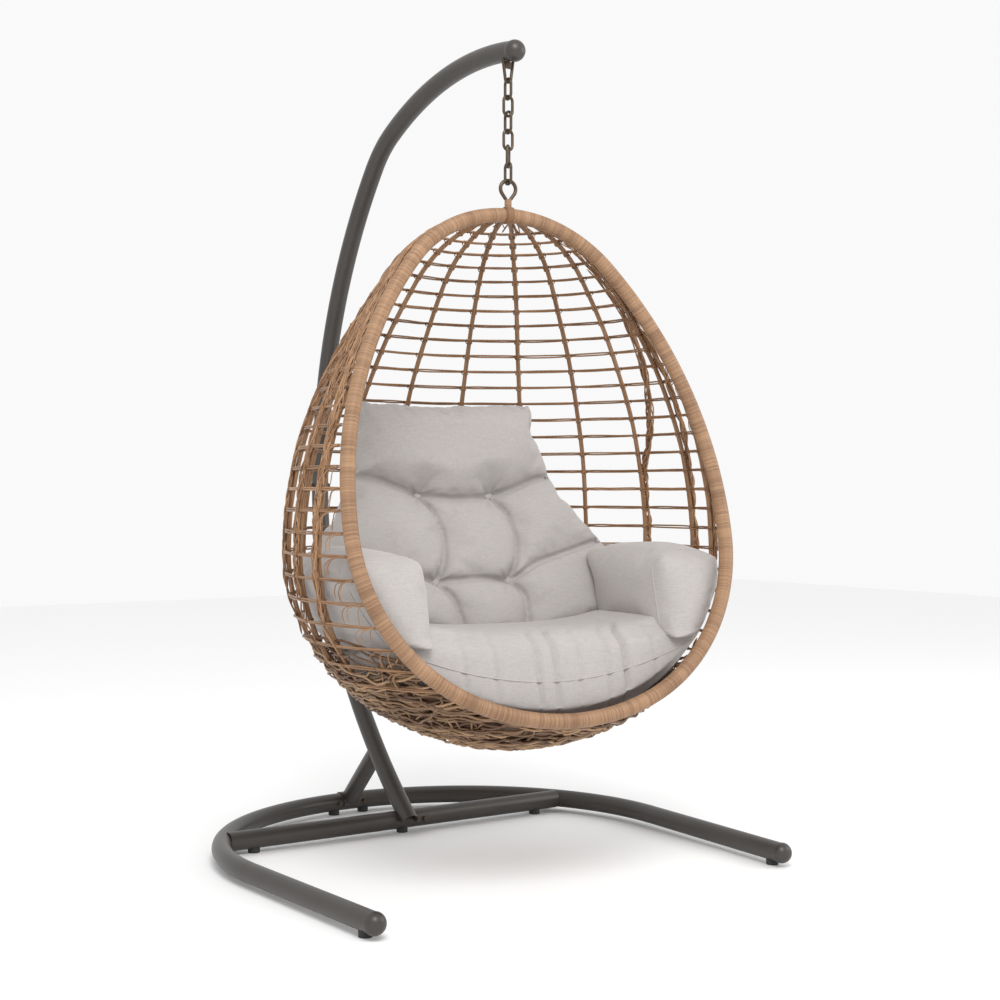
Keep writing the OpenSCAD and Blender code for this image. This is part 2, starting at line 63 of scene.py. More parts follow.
# %% Camera
hang = Vector(frame["joints"][0]["pos_m"])
VIEW_TURN = math.radians(-33.83)
VIEW_LIFT = math.radians(0.31)
CAMERA_SPOT = Vector((-2.125, hang.y - 3.136, 0.906))
back = Vector((math.sin(VIEW_TURN) * math.cos(VIEW_LIFT),
               -math.cos(VIEW_TURN) * math.cos(VIEW_LIFT), math.sin(VIEW_LIFT)))
camera_data = bpy.data.cameras.new("camera")
camera_data.lens = 56.93
camera_data.sensor_width = 36
camera = bpy.data.objects.new("camera", camera_data)
bpy.context.scene.collection.objects.link(camera)
camera.location = CAMERA_SPOT
camera.rotation_mode = "QUATERNION"
camera.rotation_quaternion = (-back).to_track_quat("-Z", "Y")
bpy.context.scene.camera = camera
print("camera stands", round((CAMERA_SPOT - hang).length, 2), "m from the hanger")

# %% [markdown]
# ## The basket's shape
# The basket is a surface of revolution about the hang axis, an egg made of
# bends that run into each other. The same bends are stated here in metres, so
# that strands can be laid on the egg by two numbers: how far down the profile,
# and how far round from straight back.

# %% The egg's profile
rng = np.random.default_rng(7)
BASKET_TURN = math.radians(-8)
APEX = 1.566
EGG_BENDS = [(0.345, 53), (1.5, 10), (0.985, 27), (0.43, 57), (0.598, 33)]
RIM_TILT = math.radians(15.5)
RIM_BENDS = [(0.327, 51), (1.004, 41), (0.432, 66), (0.552, 22)]
RIM_RADIUS = 0.0175


def run_bends(bends, count):
    """Points (across, down), headings and lengths along bends that start level."""
    heads, across, down, length = [0.0], [0.0], [0.0], [0.0]
    total = sum(turn for _, turn in bends)
    for radius, turn in bends:
        for _ in range(max(2, round(count * turn / total))):
            step = math.radians(turn) / max(2, round(count * turn / total))
            a, b = heads[-1], heads[-1] + step
            across.append(across[-1] + radius * (math.sin(b) - math.sin(a)))
            down.append(down[-1] + radius * (math.cos(a) - math.cos(b)))
            length.append(length[-1] + radius * step)
            heads.append(b)
    return [np.array(v) for v in (across, down, heads, length)]


egg_across, egg_down, egg_head, egg_length = run_bends(EGG_BENDS, 900)
rim_across, rim_down, rim_head, rim_length = run_bends(RIM_BENDS, 1200)
rim_down *= 1.2121 / rim_down[-1]
rim_across -= rim_across[-1] * rim_length / rim_length[-1]
print("egg profile", round(egg_length[-1], 3), "m, half rim", round(rim_length[-1], 3), "m")


def to_row(points):
    """From the basket's own frame to the part's frame."""
    p = np.asarray(points, float)
    c, s = math.cos(BASKET_TURN), math.sin(BASKET_TURN)
    return np.stack([p[..., 0] * c - p[..., 1] * s, p[..., 0] * s + p[..., 1] * c + hang.y,
                     p[..., 2]], -1)


def from_row(points):
    """From the part's frame to the basket's own frame."""
    p = np.asarray(points, float)
    c, s = math.cos(-BASKET_TURN), math.sin(-BASKET_TURN)
    y = p[..., 1] - hang.y
    return np.stack([p[..., 0] * c - y * s, p[..., 0] * s + y * c, p[..., 2]], -1)


def on_egg(round_by, length, out=0.0):
    """Points and outward normals on the egg, from angles round and lengths down it."""
    across = np.interp(length, egg_length, egg_across)
    height = APEX - np.interp(length, egg_length, egg_down)
    head = np.interp(length, egg_length, egg_head)
    side, rear = np.sin(round_by), np.cos(round_by)
    normal = np.stack([np.sin(head) * side, np.sin(head) * rear, np.cos(head)], -1)
    point = np.stack([across * side, across * rear, height], -1)
    return point + normal * np.asarray(out)[..., None], normal


def rim_round(length):
    """How far round from straight back the rim crosses the egg."""
    across = np.interp(length, egg_length, egg_across)
    down = np.interp(length, egg_length, egg_down)
    return np.arccos(np.clip(-down * math.tan(RIM_TILT) / np.maximum(across, 1e-4), -1, 1))


def on_rim(share, side):
    """Centre, inward normal and front normal of the rim, from the top (0) to the bottom (1)."""
    length = np.asarray(share) * rim_length[-1]
    x = side * np.interp(length, rim_length, rim_across)
    d = np.interp(length, rim_length, rim_down)
    head = np.interp(length, rim_length, rim_head)
    sin_t, cos_t = math.sin(RIM_TILT), math.cos(RIM_TILT)
    centre = np.stack([x, -d * sin_t, APEX - d * cos_t], -1)
    inward = np.stack([-side * np.sin(head), -np.cos(head) * sin_t, -np.cos(head) * cos_t], -1)
    front = np.broadcast_to([0, -cos_t, sin_t], centre.shape)
    return centre, inward, front


# %% [markdown]
# ## Cane strands
# Everything woven is a thin rod bent along a path. One helper sweeps a ring
# along each path and writes all the rods of a piece as one mesh. Each rod gets
# its own shade number, stored on the mesh, so that one material can give every
# strand a slightly different tone, as real cane has.

# %% Sweep strands into one mesh


def make_object(name, vertices, faces, shades=None, smooth=True):
    mesh = bpy.data.meshes.new(name)
    mesh.from_pydata([], [], [])
    mesh.vertices.add(len(vertices))
    mesh.vertices.foreach_set("co", np.asarray(vertices, np.float32).ravel())
    mesh.loops.add(faces.size)
    mesh.loops.foreach_set("vertex_index", faces.ravel().astype(np.int32))
    mesh.polygons.add(len(faces))
    width = faces.shape[1]
    mesh.polygons.foreach_set("loop_start", np.arange(0, faces.size, width, dtype=np.int32))
    mesh.polygons.foreach_set("use_smooth", np.full(len(faces), smooth))
    mesh.update(calc_edges=True)
    mesh.validate()
    if shades is not None:
        layer = mesh.attributes.new("shade", "FLOAT", "POINT")
        layer.data.foreach_set("value", np.asarray(shades, np.float32))
    made = bpy.data.objects.new(name, mesh)
    bpy.context.scene.collection.objects.link(made)
    return made


def swept(path, normal, radius, sides, closed=False):
    """Vertices and faces of one rod; radius may be one number, a row, or a ring per point."""
    path, normal = np.asarray(path), np.broadcast_to(normal, np.shape(path))
    ahead = np.roll(path, -1, 0) - np.roll(path, 1, 0)
    if not closed:
        ahead[0], ahead[-1] = path[1] - path[0], path[-1] - path[-2]
    ahead /= np.linalg.norm(ahead, axis=1, keepdims=True) + 1e-12
    side = np.cross(ahead, normal)
    side /= np.linalg.norm(side, axis=1, keepdims=True) + 1e-12
    up = np.cross(side, ahead)
    angle = np.arange(sides) * 2 * math.pi / sides
    radius = np.asarray(radius, float)
    radius = radius.reshape(-1, 1) if radius.ndim < 2 else radius
    ring = (np.cos(angle)[None, :, None] * up[:, None, :]
            + np.sin(angle)[None, :, None] * side[:, None, :])
    points = path[:, None, :] + ring * np.broadcast_to(radius, (len(path), sides))[..., None]
    rows = len(path) if closed else len(path) - 1
    i, j = np.meshgrid(np.arange(rows), np.arange(sides), indexing="ij")
    n, m = (i + 1) % len(path), (j + 1) % sides
    faces = np.stack([i * sides + j, i * sides + m, n * sides + m, n * sides + j], -1)
    return points.reshape(-1, 3), faces.reshape(-1, 4)


class Bundle:
    """Gathers swept rods that become one piece."""

    def __init__(self):
        self.points, self.faces, self.shades, self.count = [], [], [], 0

    def add(self, path, normal, radius, sides=6, shade=None, closed=False):
        if len(path) < 3:
            return
        radius = np.asarray(radius, float)
        if radius.ndim == 0 and not closed:
            radius = np.full(len(path), float(radius))
            radius[[0, -1]] *= 0.3
        points, faces = swept(path, normal, radius, sides, closed)
        shade = rng.random() if shade is None else shade
        self.points.append(points)
        self.faces.append(faces + self.count)
        self.shades.append(np.broadcast_to(np.ravel(shade), len(points))
                           if np.ndim(shade) == 0 else np.repeat(shade, len(points) // len(path)))
        self.count += len(points)

    def make(self, name):
        points = to_row(np.concatenate(self.points))
        return make_object(name, points, np.concatenate(self.faces), np.concatenate(self.shades))


def wander(count, size, knots=8):
    """A smooth random line of count values, about size high."""
    knots = max(3, knots)
    return np.interp(np.linspace(0, 1, count), np.linspace(0, 1, knots * 4),
                     np.convolve(rng.normal(0, size, knots * 4), np.ones(3) / 3, "same"))


# %% [markdown]
# ## Surface effects shared by the materials
# Three effects come back in several finishes, so each is a node group: a fine
# grain, a two-tone blend that follows slow noise, and a cross-ply weave. Groups
# put out masks and values only; each material keeps its own shader.

# %% Effect groups


def effect_group(name, inputs, outputs):
    group = bpy.data.node_groups.new(name, "ShaderNodeTree")
    for label, kind, value in inputs:
        socket = group.interface.new_socket(name=label, in_out="INPUT", socket_type=kind)
        if value is not None:
            socket.default_value = value
    for label, kind in outputs:
        group.interface.new_socket(name=label, in_out="OUTPUT", socket_type=kind)
    return group, group.nodes.new("NodeGroupInput"), group.nodes.new("NodeGroupOutput")


def noise_node(tree, scale, detail=3.0, rough=0.55):
    node = tree.nodes.new("ShaderNodeTexNoise")
    node.inputs["Scale"].default_value = scale
    node.inputs["Detail"].default_value = detail
    node.inputs["Roughness"].default_value = rough
    return node


def math_node(tree, operation, a=0.0, b=0.0):
    node = tree.nodes.new("ShaderNodeMath")
    node.operation = operation
    node.inputs[0].default_value, node.inputs[1].default_value = a, b
    return node


grain_group, g_in, g_out = effect_group(
    "fine_grain", [("Scale", "NodeSocketFloat", 900.0)], [("Value", "NodeSocketFloat")])
coords = grain_group.nodes.new("ShaderNodeTexCoord")
grain = noise_node(grain_group, 900.0, 4.0)
grain_group.links.new(coords.outputs["Object"], grain.inputs["Vector"])
grain_group.links.new(g_in.outputs["Scale"], grain.inputs["Scale"])
grain_group.links.new(grain.outputs["Fac"], g_out.inputs["Value"])

tone_group, t_in, t_out = effect_group(
    "slow_tone", [("Scale", "NodeSocketFloat", 6.0), ("Light", "NodeSocketColor", (1, 1, 1, 1)),
                  ("Dark", "NodeSocketColor", (0, 0, 0, 1))],
    [("Color", "NodeSocketColor"), ("Mask", "NodeSocketFloat")])
coords = tone_group.nodes.new("ShaderNodeTexCoord")
slow = noise_node(tone_group, 6.0, 2.0)
mix = tone_group.nodes.new("ShaderNodeMix")
mix.data_type = "RGBA"
tone_group.links.new(coords.outputs["Object"], slow.inputs["Vector"])
tone_group.links.new(t_in.outputs["Scale"], slow.inputs["Scale"])
tone_group.links.new(slow.outputs["Fac"], mix.inputs["Factor"])
tone_group.links.new(t_in.outputs["Dark"], mix.inputs["A"])
tone_group.links.new(t_in.outputs["Light"], mix.inputs["B"])
tone_group.links.new(mix.outputs["Result"], t_out.inputs["Color"])
tone_group.links.new(slow.outputs["Fac"], t_out.inputs["Mask"])

weave_group, w_in, w_out = effect_group(
    "cross_ply", [("Scale", "NodeSocketFloat", 260.0)], [("Value", "NodeSocketFloat")])
coords = weave_group.nodes.new("ShaderNodeTexCoord")
plies = []
for stretch in ((1, 1, 0.12), (0.12, 0.12, 1)):
    ply_map = weave_group.nodes.new("ShaderNodeMapping")
    ply_map.inputs["Scale"].default_value = stretch
    ply = noise_node(weave_group, 260.0, 2.0)
    weave_group.links.new(coords.outputs["Object"], ply_map.inputs["Vector"])
    weave_group.links.new(ply_map.outputs["Vector"], ply.inputs["Vector"])
    weave_group.links.new(w_in.outputs["Scale"], ply.inputs["Scale"])
    plies.append(ply)
both = math_node(weave_group, "ADD")
weave_group.links.new(plies[0].outputs["Fac"], both.inputs[0])
weave_group.links.new(plies[1].outputs["Fac"], both.inputs[1])
halved = math_node(weave_group, "MULTIPLY", b=0.5)
weave_group.links.new(both.outputs[0], halved.inputs[0])
weave_group.links.new(halved.outputs[0], w_out.inputs["Value"])
print("effect groups:", [g.name for g in bpy.data.node_groups])

# %% [markdown]
# ## Finishes
# The steel has a warm dark powder coat: a satin skin with a tiny orange-peel
# bump. The chain is the same steel in antique bronze. The cane takes its tone
# from the strand's shade number, and the cloth is a pale, slubby linen.

# %% Material helpers


def place_group(tree, group, **values):
    node = tree.nodes.new("ShaderNodeGroup")
    node.node_tree = group
    for label, value in values.items():
        node.inputs[label].default_value = value
    return node


def new_material(name, roughness, metallic=0.0, specular=0.5):
    material = bpy.data.materials.new(name)
    material.use_nodes = True
    shader = material.node_tree.nodes["Principled BSDF"]
    shader.inputs["Roughness"].default_value = roughness
    shader.inputs["Metallic"].default_value = metallic
    shader.inputs["Specular IOR Level"].default_value = specular
    return material, material.node_tree, shader


def bump(tree, shader, height, strength, distance):
    node = tree.nodes.new("ShaderNodeBump")
    node.inputs["Strength"].default_value = strength
    node.inputs["Distance"].default_value = distance
    tree.links.new(height, node.inputs["Height"])
    tree.links.new(node.outputs["Normal"], shader.inputs["Normal"])
    return node


def ramp_range(tree, value, low, high):
    node = tree.nodes.new("ShaderNodeMapRange")
    node.inputs["To Min"].default_value = low
    node.inputs["To Max"].default_value = high
    tree.links.new(value, node.inputs["Value"])
    return node.outputs["Result"]


# %% Steel, bronze and rubber


def coated_metal(name, light, dark, roughness, metallic, grain_scale, depth):
    material, tree, shader = new_material(name, roughness, metallic)
    tone = place_group(tree, tone_group, Scale=9.0, Light=(*light, 1), Dark=(*dark, 1))
    fine = place_group(tree, grain_group, Scale=grain_scale)
    tree.links.new(tone.outputs["Color"], shader.inputs["Base Color"])
    tree.links.new(ramp_range(tree, fine.outputs["Value"], roughness - 0.08, roughness + 0.08),
                   shader.inputs["Roughness"])
    bump(tree, shader, fine.outputs["Value"], 0.35, depth)
    return material


powder_coat = coated_metal("powder_coat", (0.062, 0.055, 0.050), (0.046, 0.041, 0.037),
                           0.38, 0.3, 1500.0, 0.0002)
antique_bronze = coated_metal("antique_bronze", (0.13, 0.095, 0.065), (0.05, 0.037, 0.028),
                              0.36, 0.75, 500.0, 0.0003)
foot_rubber = coated_metal("foot_rubber", (0.03, 0.03, 0.03), (0.02, 0.02, 0.02),
                           0.7, 0.0, 900.0, 0.0003)

# %% Cane


def cane(name, light, dark, roughness=0.48):
    material, tree, shader = new_material(name, roughness, specular=0.45)
    shade = tree.nodes.new("ShaderNodeAttribute")
    shade.attribute_name = "shade"
    fibre = place_group(tree, grain_group, Scale=420.0)
    patch = place_group(tree, tone_group, Scale=14.0)
    total = math_node(tree, "MULTIPLY_ADD", b=0.35)
    tree.links.new(fibre.outputs["Value"], total.inputs[0])
    tree.links.new(shade.outputs["Fac"], total.inputs[2])
    more = math_node(tree, "MULTIPLY_ADD", b=0.5)
    tree.links.new(patch.outputs["Mask"], more.inputs[0])
    tree.links.new(total.outputs[0], more.inputs[2])
    ramp = tree.nodes.new("ShaderNodeValToRGB")
    ramp.color_ramp.elements[0].position = 0.35
    ramp.color_ramp.elements[0].color = (*dark, 1)
    ramp.color_ramp.elements[1].position = 1.3
    ramp.color_ramp.elements[1].color = (*light, 1)
    scaled = math_node(tree, "MULTIPLY", b=0.62)
    tree.links.new(more.outputs[0], scaled.inputs[0])
    tree.links.new(scaled.outputs[0], ramp.inputs["Fac"])
    tree.links.new(ramp.outputs["Color"], shader.inputs["Base Color"])
    bump(tree, shader, fibre.outputs["Value"], 0.4, 0.0003)
    return material


rim_cane = cane("rim_cane", (0.50, 0.30, 0.165), (0.20, 0.105, 0.053))
rib_cane = cane("rib_cane", (0.40, 0.225, 0.112), (0.16, 0.076, 0.034), 0.42)
rail_cane = cane("rail_cane", (0.46, 0.265, 0.135), (0.17, 0.082, 0.038), 0.42)
nest_cane = cane("nest_cane", (0.50, 0.315, 0.17), (0.11, 0.055, 0.028))

# %% Cushion cloth
linen, tree, shader = new_material("linen", 0.85, specular=0.25)
shader.inputs["Sheen Weight"].default_value = 0.25
shader.inputs["Sheen Roughness"].default_value = 0.5
ply = place_group(tree, weave_group, Scale=420.0)
soft = place_group(tree, tone_group, Scale=5.0, Light=(0.455, 0.428, 0.412, 1),
                   Dark=(0.415, 0.390, 0.376, 1))
fleck = tree.nodes.new("ShaderNodeMix")
fleck.data_type = "RGBA"
fleck.blend_type = "MULTIPLY"
fleck.inputs["Factor"].default_value = 1.0
tree.links.new(soft.outputs["Color"], fleck.inputs["A"])
tint = tree.nodes.new("ShaderNodeValToRGB")
tint.color_ramp.elements[0].position, tint.color_ramp.elements[1].position = 0.35, 0.65
tint.color_ramp.elements[0].color = (0.86, 0.855, 0.85, 1)
tint.color_ramp.elements[1].color = (1, 1, 1, 1)
tree.links.new(ply.outputs["Value"], tint.inputs["Fac"])
tree.links.new(tint.outputs["Color"], fleck.inputs["B"])
tree.links.new(fleck.outputs["Result"], shader.inputs["Base Color"])
bump(tree, shader, ply.outputs["Value"], 0.5, 0.0006)
print("materials:", len(bpy.data.materials))

# %% [markdown]
# ## Steel and chain
# The CAD solids of the stand and chain already have the real shape, so they
# stay and only get their finish.

# %% Dress the CAD solids
FINISH = {"painted_steel": powder_coat, "bronze_steel": antique_bronze, "rubber": foot_rubber,
          "wicker": rib_cane, "cushion_fabric": linen}
slot_of = {s["node"]: s["material_slot"] for s in frame["record"]["subparts"]}
for name, solid in frame["nodes"].items():
    solid.data.materials.clear()
    solid.data.materials.append(FINISH[slot_of[name]])
print("dressed", len(frame["nodes"]), "solids")


def finish_piece(piece, material, slot, *nodes):
    """Gives a new piece its material and hangs it on the basket."""
    piece.data.materials.clear()
    piece.data.materials.append(material)
    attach(piece, "basket")
    if nodes:
        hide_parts(*nodes)
    return piece


# %% [markdown]
# ## The wound rim
# The rim is a steel tube with a cord wound tightly round it. A texture could
# fake the windings, but the rim is the chair's outline and catches the light,
# so each turn is real: the sleeve's radius rises and falls once per turn.

# %% Wind the rim
TURN_PITCH = 0.0026
RINGS_PER_TURN = 4


def wound(path, normal, radius, pitch, depth, sides, closed, bundle, level=0.5, spread=0.5):
    """A sleeve of windings along a path: rounded turns with a groove between them, each groove darkened as painted
    shade.
    """
    step = np.linalg.norm(np.diff(path, axis=0), axis=1)
    length = np.concatenate([[0], np.cumsum(step)])
    rings = int(length[-1] / pitch) * RINGS_PER_TURN
    at = np.linspace(0, length[-1], rings, endpoint=not closed)
    centre = np.stack([np.interp(at, length, path[:, k]) for k in range(3)], 1)
    facing = np.stack([np.interp(at, length, normal[:, k]) for k in range(3)], 1)
    angle = np.arange(sides) / sides
    turn = at[:, None] / pitch - angle[None, :]
    bulge = 1 - (2 * (turn % 1) - 1) ** 2
    tones = rng.random(int(turn.max()) + 3)
    tones = level + spread * (0.6 * tones + 0.4 * np.convolve(tones, np.ones(9) / 9, "same") - 0.5)
    rise = tones[np.floor(turn).astype(int) + 1]
    sleeve = radius - depth + depth * np.sqrt(bulge) * (0.75 + 0.25 * rise)
    points, faces = swept(centre, facing, sleeve, sides, closed)
    bundle.points.append(points)
    bundle.faces.append(faces + bundle.count)
    # each turn keeps its own random tone; the drop towards the groove between turns is painted shade
    bundle.shades.append(rise.ravel() - 0.25 * (1 - bulge.ravel()) ** 2)
    bundle.count += len(points)


shares = np.linspace(0, 1, 900)
right, right_in, _ = on_rim(shares, 1)
left, left_in, _ = on_rim(shares[::-1][1:-1], -1)
rim_path = np.concatenate([right, left, right[:1]])
rim_inward = np.concatenate([right_in, left_in, right_in[:1]])
rim_bundle = Bundle()
wound(rim_path, rim_inward, RIM_RADIUS, TURN_PITCH, 0.0010, 22, True, rim_bundle, 0.5, 0.7)
rim_piece = finish_piece(rim_bundle.make("rim_winding"), rim_cane, "wicker", "rim_wrap")
print("rim windings:", len(rim_piece.data.vertices), "vertices")

# %% [markdown]
# ## Ribs
# Twelve ribs fan out from the crown and run down to the bowl. A real rib is a
# few long canes laid together with a slow twist, so three rods share each rib.
# Single round bars would look like wire.

# %% Lay the ribs
RIB_ROUND = [10, 30, 50, 70, 90, 101]
RIB_START = [6.5, 6.5, 6.8, 11, 48, 65.5]
BOWL_HEAD = 132.0


def twisted_canes(bundle, path, normal, radius, offset, turns, tones):
    """Rods laid side by side round one path, turning slowly about it."""
    ahead = np.gradient(path, axis=0)
    ahead /= np.linalg.norm(ahead, axis=1, keepdims=True)
    side = np.cross(ahead, normal)
    begin = rng.uniform(0, 6)
    for k, tone in enumerate(tones):
        angle = begin + 2 * math.pi * (k / len(tones) + np.linspace(0, turns, len(path)))
        shifted = path + offset * (np.cos(angle)[:, None] * side + np.sin(angle)[:, None] * normal)
        thick = radius * (1 + wander(len(path), 0.05, 20))
        bundle.add(shifted, normal, thick, 9, tone)


for side, label in ((-1, "left"), (1, "right")):
    for k, (turn, start) in enumerate(zip(RIB_ROUND, RIB_START), 1):
        first = np.interp(math.radians(start), egg_head, egg_length)
        last = np.interp(math.radians(BOWL_HEAD), egg_head, egg_length)
        down = np.linspace(first, last, 200)
        path, normal = on_egg(np.full(200, side * math.radians(turn)), down)
        rib = Bundle()
        twisted_canes(rib, path, normal, 0.0036, 0.0026, 1.6, rng.uniform(0.35, 0.75, 3))
        finish_piece(rib.make(f"rib_canes_{label}_{k}"), rib_cane, "wicker", f"rib_{label}_{k}")
print("ribs laid:", 2 * len(RIB_ROUND))

# %% [markdown]
# ## Cross rails
# Each rail is two thin canes that lie one above the other, touch at the ribs
# and part a little between them. They pass outside the ribs and run into the
# rim's winding. A tie of the same cane binds them to each rib.

# %% Lay the rails
RAIL_OUT = 0.0092
RAILS_PER_NODE = 3
rail_lengths = [0.145 + 0.04 * k + 0.00025 * k * (k - 1) for k in range(27)]
RIB_MARKS = [s * math.radians(r) for r in RIB_ROUND for s in (-1, 1)]


def tie(bundle, turn, length, across, thick=0.0015):
    """Two crossed turns of thin cane round a rib and a rail."""
    spin = np.linspace(0, 2 * math.pi, 15)
    for lean in (-1, 1):
        path, normal = on_egg(turn + 0.0078 * np.cos(spin) / across,
                              length + lean * 0.0036 * np.cos(spin), 0.0032 + 0.0098 * np.sin(spin))
        bundle.add(path, np.cross(np.gradient(path, axis=0), normal), thick, 6,
                   0.25 + 0.4 * rng.random())


for node in range(9):
    rail = Bundle()
    for length in rail_lengths[node * RAILS_PER_NODE:(node + 1) * RAILS_PER_NODE]:
        across = np.interp(length, egg_length, egg_across)
        half = rim_round(length) - 0.009 / across
        count = max(60, int(2 * half * across / 0.012))
        turn = np.linspace(-half, half, count)
        at_rib = np.zeros(count)
        for mark in RIB_MARKS:
            at_rib = np.maximum(at_rib, np.exp(-((turn - mark) * across / 0.02) ** 2))
        for strand in (-1, 1):
            part = (0.0016 + np.abs(wander(count, 0.0011, count // 16))) * (1 - 0.4 * at_rib)
            drop = strand * part + wander(count, 0.0007, count // 14)
            lift = RAIL_OUT - 0.0006 * (1 - at_rib) + wander(count, 0.0005, count // 10)
            path, normal = on_egg(turn, length + drop, lift)
            rail.add(path, normal, 0.0021, 7, 0.3 + 0.5 * rng.random())
        for mark in RIB_MARKS:
            if abs(mark) < half - 0.01 / across:
                tie(rail, mark, length, across)
    finish_piece(rail.make(f"rail_canes_{node + 1}"), rail_cane, "wicker", f"rails_{node + 1}")
print("rails laid:", len(rail_lengths))

# %% [markdown]
# ## Loose weave beside the rim
# Next to the rim, long canes run down from the crown, close together at first,
# and then gather round the three outer ribs. Short curls tie each rail's end to
# the next rail. Both follow the egg just outside the ribs.

# %% Thread the sides
side_weave = Bundle()
for side in (-1, 1):
    for k in range(44):
        first, last = rng.uniform(0.10, 0.30), rng.uniform(0.9, 1.32)
        count = int((last - first) / 0.008)
        down = np.linspace(first, last, count)
        across = np.interp(down, egg_length, egg_across)
        limit = rim_round(down) - 0.019 / across
        inset = (0.006 + 0.11 * (k % 10) / 10 + rng.uniform(0, 0.01)) * (0.35 + down)
        free = limit - inset / across
        rib = math.radians(101 if k % 10 < 4 else 90 if k % 10 < 7 else 70)
        swing = 0.0085 * np.sin(down * 2 * math.pi / rng.uniform(0.09, 0.15) + rng.uniform(0, 6))
        held = np.minimum(rib + swing / across, limit)
        gather = np.clip((down - 0.40) / 0.45, 0, 1)
        turn = side * (free * (1 - gather) + held * gather + wander(count, 0.002, 20) / across)
        lift = 0.0105 + 0.003 * np.cos(down * 55 + k) + wander(count, 0.0012, count // 8)
        path, normal = on_egg(turn, down, lift)
        side_weave.add(path, normal, rng.uniform(0.0015, 0.0023), 6, 0.15 + 0.75 * rng.random())
    for length, after in zip(rail_lengths[3:-1], rail_lengths[4:]):
        across = np.interp(length, egg_length, egg_across)
        limit = rim_round(length) - 0.018 / across
        for reach in rng.uniform(0.015, 0.075, 3):
            sweep = np.linspace(0, 1, 16)
            turn = side * (limit - (reach * np.sin(sweep * 1.9)) / across)
            drop = length + (after - length) * rng.uniform(0.7, 1.05) * sweep ** 2.2
            path, normal = on_egg(turn, drop + wander(16, 0.001, 4), 0.0115 + wander(16, 0.001, 4))
            side_weave.add(path, normal, rng.uniform(0.0009, 0.0014), 5, 0.3 + 0.7 * rng.random())
finish_piece(side_weave.make("side_weave"), rail_cane, "wicker")
print("side weave:", side_weave.count, "vertices")

# %% [markdown]
# ## The nest under the seat
# The bowl is woven thick and untidy, like a bird's nest. Most canes run round
# the bowl and climb or fall a little, so they cross at shallow angles and dip
# over and under. Chords across the bottom fill its middle. A dark lining inside
# keeps light from showing through, as the many hidden layers do; its dark colour
# is painted shade.

# %% Weave the nest
nest = Bundle()
NEST_TOP = 118.0
nest_first = np.interp(math.radians(NEST_TOP), egg_head, egg_length)
widest = np.interp(nest_first, egg_length, egg_across)
lower = egg_length >= nest_first
disc_across, disc_length = egg_across[lower][::-1], egg_length[lower][::-1]


def behind_rim(points):
    """Distance of points behind the rim's plane."""
    return points[:, 1] * math.cos(RIM_TILT) + (APEX - points[:, 2]) * math.sin(RIM_TILT)


def lay_chord(a, b, bow, out, radius, shade):
    count = 70
    t = np.linspace(0, 1, count)[:, None]
    line = a * (1 - t) + b * t
    side = np.array([-(b - a)[1], (b - a)[0]])
    line = line + side * bow * (4 * t * (1 - t))
    line = line + np.stack([wander(count, 0.006, 9), wander(count, 0.006, 9)], 1)
    far = np.hypot(line[:, 0], line[:, 1])
    keep = far < widest * 0.995
    turn = np.arctan2(line[:, 0], line[:, 1])
    length = np.interp(far, disc_across, disc_length)
    path, normal = on_egg(turn, length, out + wander(count, 0.0018, 12))
    keep &= behind_rim(path) > 0.012
    runs = np.split(np.arange(count), np.where(np.diff(keep.astype(int)))[0] + 1)
    for run in runs:
        if keep[run[0]] and len(run) > 8:
            nest.add(path[run], normal[run], radius, 6, shade)


for k in range(90):
    bearing, other = rng.uniform(0, 2 * math.pi, 2)
    spread = rng.uniform(0.55, 1.0)
    a = widest * np.array([math.cos(bearing), math.sin(bearing)])
    b = widest * spread * np.array([math.cos(other), math.sin(other)])
    lay_chord(a, b, rng.uniform(-0.25, 0.25), rng.uniform(-0.005, 0.004),
              rng.uniform(0.0022, 0.0030), rng.random() * 0.6)
nest_low = egg_length[-1] - 0.10
for k in range(420):
    start, reach = rng.uniform(-math.pi, math.pi), rng.uniform(0.5, 1.5)
    slope = rng.choice([-1, 1]) * rng.uniform(0.10, 0.34)
    middle = nest_first + 0.03 + (nest_low - nest_first) * rng.random() ** 0.8
    count = 64
    along = np.linspace(-0.5, 0.5, count)
    across = np.interp(middle, egg_length, egg_across)
    length = middle + slope * along * reach * across + wander(count, 0.003, 8)
    weave = 0.0028 * np.sin(along * reach * across * 2 * math.pi / 0.075 + rng.uniform(0, 6))
    length = np.clip(length, nest_first - 0.02, nest_low + 0.08)
    path, normal = on_egg(start + along * reach, length,
                          rng.uniform(0.0, 0.0055) + weave)
    keep = behind_rim(path) > 0.012
    for run in np.split(np.arange(count), np.where(np.diff(keep.astype(int)))[0] + 1):
        if keep[run[0]] and len(run) > 8:
            nest.add(path[run], normal[run], rng.uniform(0.0024, 0.0036), 7, rng.random())

# the lining: a dark sheet whose colour is painted shade for the hidden layers of weave
turns = np.linspace(-math.pi, math.pi, 97)
lengths = np.linspace(np.interp(math.radians(BOWL_HEAD), egg_head, egg_length), egg_length[-1], 30)
grid_turn, grid_length = np.meshgrid(turns, lengths, indexing="ij")
lining, _ = on_egg(grid_turn, grid_length, np.full(grid_turn.shape, -0.006))
i, j = np.meshgrid(np.arange(96), np.arange(29), indexing="ij")
quads = np.stack([i * 30 + j, i * 30 + j + 1, (i + 1) * 30 + j + 1, (i + 1) * 30 + j], -1)
quads = quads.reshape(-1, 4)
flat = lining.reshape(-1, 3)
quads = quads[(behind_rim(flat)[quads] > 0.005).all(1)]
nest.points.append(flat)
nest.faces.append(quads + nest.count)
# a shade of -0.3 gives the lining the darkest nest cane colour: painted shade
nest.shades.append(np.full(len(flat), -0.3))
nest.count += len(flat)
finish_piece(nest.make("nest_weave"), nest_cane, "wicker", "bowl_weave")
print("nest:", nest.count, "vertices")

# %% [markdown]
# ## Post and lashing at the crown
# Above the rim, the eye's legs run into a short post bound with cane. A strap
# of cane loops over the rim and covers where the ribs start.

